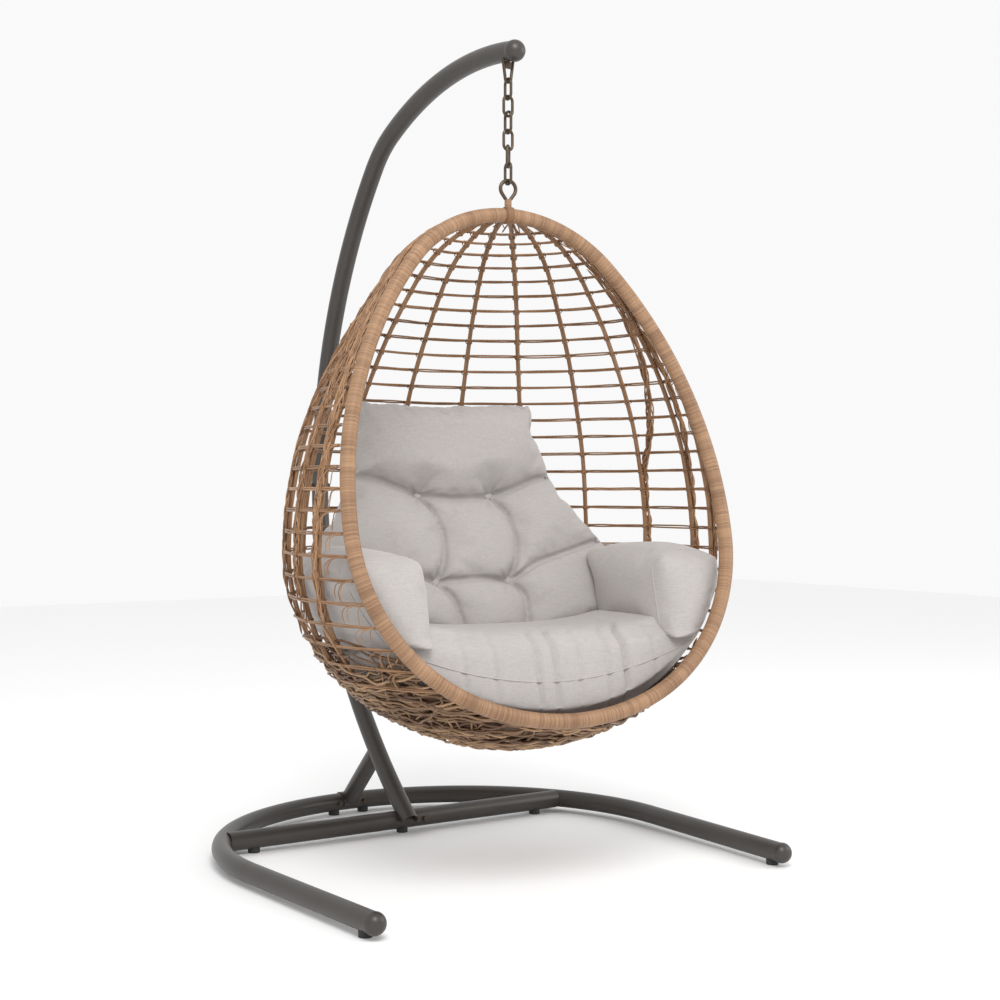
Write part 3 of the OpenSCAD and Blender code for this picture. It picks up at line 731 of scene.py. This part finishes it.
# %% Bind the crown
post_low, post_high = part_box("eye_post")
post = Bundle()
heights = np.linspace(post_high.z + 0.001, post_low.z + 0.001, 60)
path = np.stack([np.zeros(60), np.zeros(60), heights], 1)
wound(path, np.broadcast_to([0.0, 1.0, 0.0], path.shape), 0.0088, 0.0034, 0.0009, 20, False, post)
finish_piece(post.make("post_winding"), rim_cane, "wicker", "eye_post")

strap = Bundle()
for k in range(9):
    share = (k - 4) / 4 * 0.0056
    side = 1 if share >= 0 else -1
    centre, inward, front = on_rim(np.array([abs(share)]), side)
    spin = np.linspace(0, 2 * math.pi, 40, endpoint=False)[:, None]
    near = 0.0195 if k % 2 else 0.0190
    loop = centre + near * (inward * np.cos(spin) + front * np.sin(spin))
    along = np.broadcast_to(np.cross(inward, front), loop.shape)
    strap.add(loop, along, 0.0014, 6, 0.3 + 0.5 * rng.random(), closed=True)
for k in range(70):
    length = np.linspace(0.012 + 0.006 * rng.random(), 0.10 + 0.05 * rng.random(), 20)
    turn = math.radians(rng.uniform(-96, 96)) + np.linspace(0, rng.normal(0, 0.25), 20)
    path, normal = on_egg(turn, length, 0.003 + 0.005 * rng.random() + wander(20, 0.0015, 4))
    keep = behind_rim(path) > 0.012
    if keep.sum() > 5:
        strap.add(path[keep], normal[keep], rng.uniform(0.0014, 0.0022), 5, rng.random() * 0.8)
finish_piece(strap.make("crown_lashing"), rib_cane, "wicker", "rim_lashing")
print("crown bound")

# %% [markdown]
# ## Cushions
# Stuffed cloth is best made the way it is sewn: a loose skin, held down where
# it is stitched, and blown up by its filling. Each cushion starts as its CAD
# block, remeshed, rounded and shrunk a little. Blender's cloth with pressure
# then inflates it. Buttons and creases are pinned, so the cloth puffs up round
# them and wrinkles by itself.

# %% Cushion tools


def evaluated_copy(ob):
    graph = bpy.context.evaluated_depsgraph_get()
    mesh = bpy.data.meshes.new_from_object(ob.evaluated_get(graph))
    return mesh


def coords_of(mesh):
    co = np.zeros(len(mesh.vertices) * 3, np.float32)
    mesh.vertices.foreach_get("co", co)
    return co.reshape(-1, 3).astype(float)


def set_coords(mesh, co):
    mesh.vertices.foreach_set("co", np.asarray(co, np.float32).ravel())
    mesh.update()


def normals_of(mesh):
    no = np.zeros(len(mesh.vertices) * 3, np.float32)
    mesh.vertices.foreach_get("normal", no)
    return no.reshape(-1, 3).astype(float)


def relax(mesh, co, times, share=0.5):
    edge = np.zeros(len(mesh.edges) * 2, np.int32)
    mesh.edges.foreach_get("vertices", edge)
    a, b = edge.reshape(-1, 2).T
    degree = np.bincount(a, minlength=len(co)) + np.bincount(b, minlength=len(co))
    for _ in range(times):
        total = np.stack([np.bincount(a, co[b, k], len(co)) + np.bincount(b, co[a, k], len(co))
                          for k in range(3)], 1)
        co = co + share * (total / degree[:, None] - co)
    return co


def run_modifier(ob, **settings):
    kind = settings.pop("kind")
    modifier = ob.modifiers.new(kind.lower(), kind)
    for label, value in settings.items():
        setattr(modifier, label, value)
    mesh = evaluated_copy(ob)
    ob.modifiers.clear()
    old = ob.data
    ob.data = mesh
    bpy.data.meshes.remove(old)


def distance_to_lines(points, lines):
    """Smallest distance of 2-D points to a list of polylines."""
    best = np.full(len(points), 9.0)
    for line in lines:
        line = np.asarray(line, float)
        for a, b in zip(line[:-1], line[1:]):
            d = b - a
            t = np.clip(((points - a) @ d) / (d @ d), 0, 1)
            best = np.minimum(best, np.linalg.norm(points - a - t[:, None] * d, axis=1))
    return best


def smooth_line(points, count=24):
    """A smooth curve through a few points."""
    points = np.asarray(points, float)
    padded = np.vstack([2 * points[0] - points[1], points, 2 * points[-1] - points[-2]])
    made = []
    for k in range(len(points) - 1):
        p0, p1, p2, p3 = padded[k:k + 4]
        t = np.linspace(0, 1, count, endpoint=False)[:, None]
        made.append(0.5 * (2 * p1 + (p2 - p0) * t + (2 * p0 - 5 * p1 + 4 * p2 - p3) * t ** 2
                           + (3 * p1 - p0 - 3 * p2 + p3) * t ** 3))
    return np.vstack(made + [points[-1:]])


EGG_MIDDLE = 0.85
CLOTH_GAP = 0.017
profile_turn = np.arctan2(egg_across, APEX - egg_down - EGG_MIDDLE)
profile_far = np.hypot(egg_across, APEX - egg_down - EGG_MIDDLE)


def inside_basket(points, gap):
    """Keeps points inside a ball about EGG_MIDDLE and behind the rim's plane.

    It was meant to follow the egg. The table's last angle falls back to -pi, so
    np.interp gives its last distance everywhere, and the ball is up to 18 mm
    too large half-way up. Taking egg_across as no less than 0 would mend it.
    """
    own = from_row(points)
    flat = np.hypot(own[:, 0], own[:, 1])
    rise = own[:, 2] - EGG_MIDDLE
    far = np.hypot(flat, rise)
    room = np.interp(np.arctan2(flat, rise), profile_turn, profile_far) - gap
    shrink = np.minimum(1, room / np.maximum(far, 1e-6))
    own[:, 0] *= shrink
    own[:, 1] *= shrink
    own[:, 2] = EGG_MIDDLE + rise * shrink
    ahead = np.minimum(behind_rim(own) - 0.002, 0)
    own[:, 1] -= ahead * math.cos(RIM_TILT)
    own[:, 2] += ahead * math.sin(RIM_TILT)
    return to_row(own)


def stuffed(name, node, voxel, inset, rounding, cap, pressure, shape=None, slack=0.05):
    """A cushion: the CAD block remeshed, rounded, shaped, and blown up as cloth."""
    mesh = frame["nodes"][node].data.copy()
    ob = bpy.data.objects.new(name, mesh)
    bpy.context.scene.collection.objects.link(ob)
    run_modifier(ob, kind="REMESH", mode="VOXEL", voxel_size=voxel, use_smooth_shade=True)
    co = relax(ob.data, coords_of(ob.data), rounding)
    set_coords(ob.data, co)
    co = co - normals_of(ob.data) * inset
    pins = np.zeros(len(co), bool)
    if shape is not None:
        set_coords(ob.data, co)
        co, pins = shape(co, normals_of(ob.data))
    co = inside_basket(co, CLOTH_GAP)
    set_coords(ob.data, co)
    start = co.copy()
    group = ob.vertex_groups.new(name="pins")
    group.add([int(v) for v in np.where(pins)[0]], 1.0, "REPLACE")
    cloth = ob.modifiers.new("cloth", "CLOTH")
    settings = cloth.settings
    settings.quality = 4
    settings.mass = 0.25
    settings.tension_stiffness = 18
    settings.compression_stiffness = 12
    settings.shear_stiffness = 6
    settings.bending_stiffness = 1.5
    settings.use_pressure = True
    settings.uniform_pressure_force = pressure
    settings.shrink_min = -slack
    settings.vertex_group_mass = "pins"
    settings.effector_weights.gravity = 0
    cloth.collision_settings.use_collision = False
    cloth.point_cache.frame_start, cloth.point_cache.frame_end = 1, 20
    for f in range(1, 21):
        bpy.context.scene.frame_set(f)
    blown = coords_of(evaluated_copy(ob))
    ob.modifiers.clear()
    ob.vertex_groups.clear()
    bpy.context.scene.frame_set(1)
    move = blown - start
    far = np.linalg.norm(move, axis=1, keepdims=True)
    move *= np.minimum(1, cap / np.maximum(far, 1e-6))
    co = relax(ob.data, start + move, 2, 0.4)
    set_coords(ob.data, inside_basket(co, CLOTH_GAP))
    print(name, "moved", round(float(far.mean()) * 1000, 1), "mm on average")
    run_modifier(ob, kind="SUBSURF", levels=1, render_levels=1)
    ob.data.polygons.foreach_set("use_smooth", np.ones(len(ob.data.polygons), bool))
    return ob


def press(ob, depth_of):
    """Moves a cushion's skin inwards by a depth worked out from its own frame."""
    co = coords_of(ob.data)
    own = from_row(co)
    normal = normals_of(ob.data)
    c, s = math.cos(-BASKET_TURN), math.sin(-BASKET_TURN)
    own_normal = np.stack([normal[:, 0] * c - normal[:, 1] * s,
                           normal[:, 0] * s + normal[:, 1] * c, normal[:, 2]], 1)
    set_coords(ob.data, co - normal * depth_of(own, own_normal)[:, None])


# %% Back cushion
BUTTONS = [(-0.10, 0.895), (0.10, 0.895), (-0.10, 0.68), (0.10, 0.68)]
UL, UR, LL, LR = BUTTONS
CREASES = [smooth_line(line, 10) for line in (
    [UL, (-0.165, 0.918), (-0.225, 0.940), (-0.30, 0.945)],
    [UL, (0.0, 0.888), UR],
    [UR, (0.165, 0.915), (0.225, 0.938), (0.31, 0.950)],
    [UL, (-0.070, 0.840), (-0.066, 0.765), LL],
    [UR, (0.130, 0.840), (0.134, 0.765), LR],
    [LL, (0.0, 0.690), LR],
    [LR, (0.175, 0.722), (0.265, 0.748), (0.42, 0.790)],
    [LL, (-0.175, 0.705), (-0.265, 0.722), (-0.42, 0.735)],
    [LR, (0.128, 0.640), (0.120, 0.545)],
    [LL, (-0.070, 0.640), (-0.050, 0.545)])]


def tuft(co, normal):
    own = from_row(co)
    c, s = math.cos(-BASKET_TURN), math.sin(-BASKET_TURN)
    facing = -(normal[:, 0] * s + normal[:, 1] * c)
    front = np.clip((facing - 0.15) / 0.4, 0, 1)
    flat = own[:, [0, 2]]
    crease = distance_to_lines(flat, CREASES)
    button = np.min([np.hypot(*(flat - b).T) for b in BUTTONS], axis=0)
    push = front * (0.016 * np.exp(-(crease / 0.018) ** 2) + 0.022 * np.exp(-(button / 0.03) ** 2)
                    - 0.010 * (1 - np.exp(-(crease / 0.07) ** 2)))
    turned = np.array([0.0, 1.0, 0.0])
    back_way = to_row(turned) - to_row(np.zeros(3))
    pins = (front > 0.6) & ((crease < 0.0055) | (button < 0.012))
    co = co + back_way * push[:, None]
    co[:, 2] += 0.022 * np.clip((own[:, 2] - 0.95) / 0.17, 0, 1) ** 2
    return co, pins


back_cushion = stuffed("back_cushion_cloth", "back_cushion", 0.0085, 0.006, 22, 0.030, 5.0,
                       tuft, 0.03)
gathers = [(x + rng.normal(0, 0.008), rng.uniform(0.03, 0.075), rng.uniform(0.4, 1.0))
           for x in np.arange(-0.24, 0.26, 0.034)]


def gather_top(own, normal):
    depth = np.zeros(len(own))
    for x, reach, weight in gathers:
        fall = np.clip((own[:, 2] - (1.125 - reach)) / reach, 0, 1)
        lean = x + (1.125 - own[:, 2]) * 0.35
        depth += weight * 0.0045 * fall * np.exp(-((own[:, 0] - lean) / 0.006) ** 2)
    return depth * np.clip((-normal[:, 1] + 0.5) * 1.5, 0, 1)


def crease_lines(own, normal):
    front = np.clip((-normal[:, 1] - 0.1) / 0.3, 0, 1)
    flat = own[:, [0, 2]]
    return front * 0.012 * np.exp(-(distance_to_lines(flat, CREASES) / 0.0055) ** 2)


def button_pleats(own, normal):
    front = np.clip((-normal[:, 1] - 0.1) / 0.3, 0, 1)
    depth = np.zeros(len(own))
    for x, z in BUTTONS:
        dx, dz = own[:, 0] - x, own[:, 2] - z
        far, angle = np.hypot(dx, dz), np.arctan2(dz, dx)
        ray = np.cos(angle * 9 + 3 * x * 10) + 0.6 * np.cos(angle * 5 + z * 7)
        depth += 0.0022 * np.clip(ray, 0, 2) * np.exp(-((far - 0.026) / 0.022) ** 2)
    return front * depth


press(back_cushion, gather_top)
press(back_cushion, crease_lines)
press(back_cushion, button_pleats)
finish_piece(back_cushion, linen, "cushion_fabric", "back_cushion")

# %% Seat cushion
seat_folds = [(-0.235, 0.055, 0.5), (-0.16, 0.09, 0.5), (-0.055, 0.14, 0.9), (-0.01, 0.17, 1.0),
              (0.05, 0.08, 0.6), (0.13, 0.11, 0.8), (0.175, 0.19, 1.5), (0.255, 0.07, 0.6)]


def seat_press(own, normal):
    rim_gap = own[:, 1] * math.cos(RIM_TILT) + (APEX - own[:, 2]) * math.sin(RIM_TILT)
    depth = np.zeros(len(own))
    up = np.clip(normal[:, 2] * 1.6, 0, 1)
    for x, reach, weight in seat_folds:
        fade = np.clip(1 - np.abs(rim_gap - 0.045) / reach, 0, 1)
        line = x + 0.25 * (rim_gap - 0.02) + 0.008 * np.sin(rim_gap * 60)
        depth += weight * 0.010 * fade * np.exp(-((own[:, 0] - line) / 0.0065) ** 2)
    return depth * np.clip(up + 0.4, 0, 1)


def fill_out(co, normal):
    """The real seat reaches under the arms and up to the rim on both sides."""
    own = from_row(co)
    own[:, 0] *= 0.425 / np.abs(own[:, 0]).max()
    own[:, 0] *= 1 + 0.40 * np.clip(1 - behind_rim(own) / 0.28, 0, 1)
    edge = np.clip(np.abs(own[:, 0]) / 0.42, 0, 1) ** 3
    own[:, 2] += 0.075 * edge * np.clip((own[:, 2] - 0.42) / 0.1, 0, 1)
    return to_row(own), np.zeros(len(co), bool)


seat_cushion = stuffed("seat_cushion_cloth", "seat_cushion", 0.0095, 0.002, 9, 0.028, 5.0,
                       fill_out, 0.02)
press(seat_cushion, seat_press)
finish_piece(seat_cushion, linen, "cushion_fabric", "seat_cushion")

# %% Arm cushions
def rest_on_seat(co, normal):
    """The arm's underside lies on the seat, so it is flattened there."""
    low = np.clip(0.585 - co[:, 2], 0, None)
    co[:, 2] += 0.75 * low
    return co, np.zeros(len(co), bool)


arms = {}
for label in ("left", "right"):
    arm = arms[label] = stuffed(f"arm_cushion_{label}_cloth", f"arm_cushion_{label}", 0.0085,
                                0.0, 34, 0.024, 5.0, rest_on_seat, 0.02)
    finish_piece(arm, linen, "cushion_fabric", f"arm_cushion_{label}")

# %% [markdown]
# ## Buttons and seams
# A covered button is a flattened dome with a rolled edge, sunk into its dimple.
# The welts along the seams are thin cords laid on the finished cushions, so
# they always follow the cloth.

# %% Buttons


def surface_of(ob):
    return BVHTree.FromObject(ob, bpy.context.evaluated_depsgraph_get())


back_skin = surface_of(back_cushion)
button_parts, button_faces, offset = [], [], 0
for x, z in BUTTONS:
    origin = Vector(to_row(np.array([x, -0.4, z])))
    way = Vector(to_row(np.array([0.0, 1.0, 0.0])) - to_row(np.zeros(3)))
    hit, normal, _, _ = back_skin.ray_cast(origin, way)
    out = -way.normalized() * 0.85 + Vector((0, 0, 0.45))
    out.normalize()
    side = out.cross(Vector((0, 0, 1))).normalized()
    up = side.cross(out)
    profile = [(0.0, 0.0075), (0.004, 0.0073), (0.008, 0.0062), (0.0112, 0.004), (0.013, 0.001),
               (0.0132, -0.002), (0.0115, -0.004)]
    sides = 28
    base = np.array(hit)
    for radius, height in profile:
        for k in range(sides):
            a = 2 * math.pi * k / sides
            spoke = math.cos(a) * np.array(side) + math.sin(a) * np.array(up)
            button_parts.append(base + np.array(out) * (height - 0.001) + radius * spoke)
    for i in range(len(profile) - 1):
        for k in range(sides):
            m = (k + 1) % sides
            button_faces.append([offset + i * sides + k, offset + i * sides + m,
                                 offset + (i + 1) * sides + m, offset + (i + 1) * sides + k])
    offset += len(profile) * sides
buttons = make_object("covered_buttons", np.array(button_parts), np.array(button_faces))
finish_piece(buttons, linen, "cushion_fabric", "cushion_buttons")
print("buttons:", len(BUTTONS))

# %% Welts along the seams


def own_ray(skin, origin, way):
    """Where a ray, given in the basket's own frame, first meets a cushion."""
    start = to_row(np.asarray(origin, float))
    toward = to_row(np.asarray(way, float)) - to_row(np.zeros(3))
    hit, normal, _, _ = skin.ray_cast(Vector(start), Vector(toward).normalized())
    if hit is None:
        return None
    return from_row(np.array(hit)), np.array(normal)


def welt(name, points, cushion_name, closed=False):
    """A thin cord half sunk into the cloth along the seam."""
    path = np.array(points)
    if closed:
        path = np.vstack([path[-6:], path, path[:6]])
    for _ in range(6):
        path[1:-1] = (path[:-2] + 2 * path[1:-1] + path[2:]) / 4
    if closed:
        path = path[6:-6]
    cord = Bundle()
    flat = np.cross(np.gradient(path, axis=0), [0.3, -0.8, 0.5])
    cord.add(path, flat, 0.0019 if not closed else np.full(len(path), 0.0019), 8, 0.5, closed)
    return finish_piece(cord.make(name), linen, "cushion_fabric")


seat_skin = surface_of(seat_cushion)
front_seam = []
for x in np.linspace(-0.37, 0.37, 120):
    found = own_ray(seat_skin, (x, -0.7, 0.478 + 0.075 * (x / 0.36) ** 2), (0, 1, 0))
    if found is not None:
        front_seam.append(found[0])
welt("seat_front_welt", front_seam, "seat_cushion")
for label, arm in arms.items():
    skin = surface_of(arm)
    co = from_row(coords_of(arm.data))
    middle = (co.min(0) + co.max(0)) / 2
    rim_gap = behind_rim(co)
    plane = rim_gap.min() + 0.034
    along = np.array([0, -math.sin(RIM_TILT), -math.cos(RIM_TILT)])
    across_way = np.array([1.0, 0, 0])
    rear_way = np.array([0, math.cos(RIM_TILT), -math.sin(RIM_TILT)])
    centre = middle + rear_way * (plane - behind_rim(middle[None])[0])
    near = np.abs(rim_gap - plane) < 0.012
    centre[[0, 2]] = co[near].mean(0)[[0, 2]]
    loop = []
    for angle in np.linspace(0, 2 * math.pi, 100, endpoint=False):
        way = math.cos(angle) * across_way + math.sin(angle) * along
        found = own_ray(skin, centre + way * 0.5, -way)
        if found is not None:
            loop.append(found[0])
    welt(f"arm_welt_{label}", loop, f"arm_cushion_{label}", closed=True)
print("welts: seat front and both arms")

# %% [markdown]
# ## Floor and light
# A plain pale floor and big soft lamps keep the eye on the chair. The world is
# a soft white, one large lamp stands over the left shoulder and one fills from
# the right.

# %% Stage
half = 9.0
floor = make_object("floor", np.array([[-half, -half, 0], [half, -half, 0], [half, half, 0],
                                       [-half, half, 0]]), np.array([[0, 1, 2, 3]]), smooth=False)
floor_finish, _, floor_shader = new_material("pale_floor", 0.75, specular=0.2)
floor_shader.inputs["Base Color"].default_value = (0.93, 0.93, 0.93, 1)
floor.data.materials.append(floor_finish)
world = bpy.data.worlds.new("studio")
bpy.context.scene.world = world
world.use_nodes = True
world.node_tree.nodes["Background"].inputs["Color"].default_value = (1, 1, 1, 1)
world.node_tree.nodes["Background"].inputs["Strength"].default_value = 0.95


def lamp(name, spot, aim, size, power):
    data = bpy.data.lights.new(name, "AREA")
    data.shape = "DISK"
    data.size, data.energy = size, power
    ob = bpy.data.objects.new(name, data)
    bpy.context.scene.collection.objects.link(ob)
    ob.location = spot
    ob.rotation_mode = "QUATERNION"
    ob.rotation_quaternion = (Vector(aim) - Vector(spot)).to_track_quat("-Z", "Y")
    return ob


lamp("key", (-1.6, -3.2, 4.2), (0, 0, 0.8), 2.4, 130)
lamp("fill", (3.6, -2.4, 2.4), (0, 0, 0.9), 2.6, 45)
bpy.context.scene.view_settings.view_transform = "Standard"
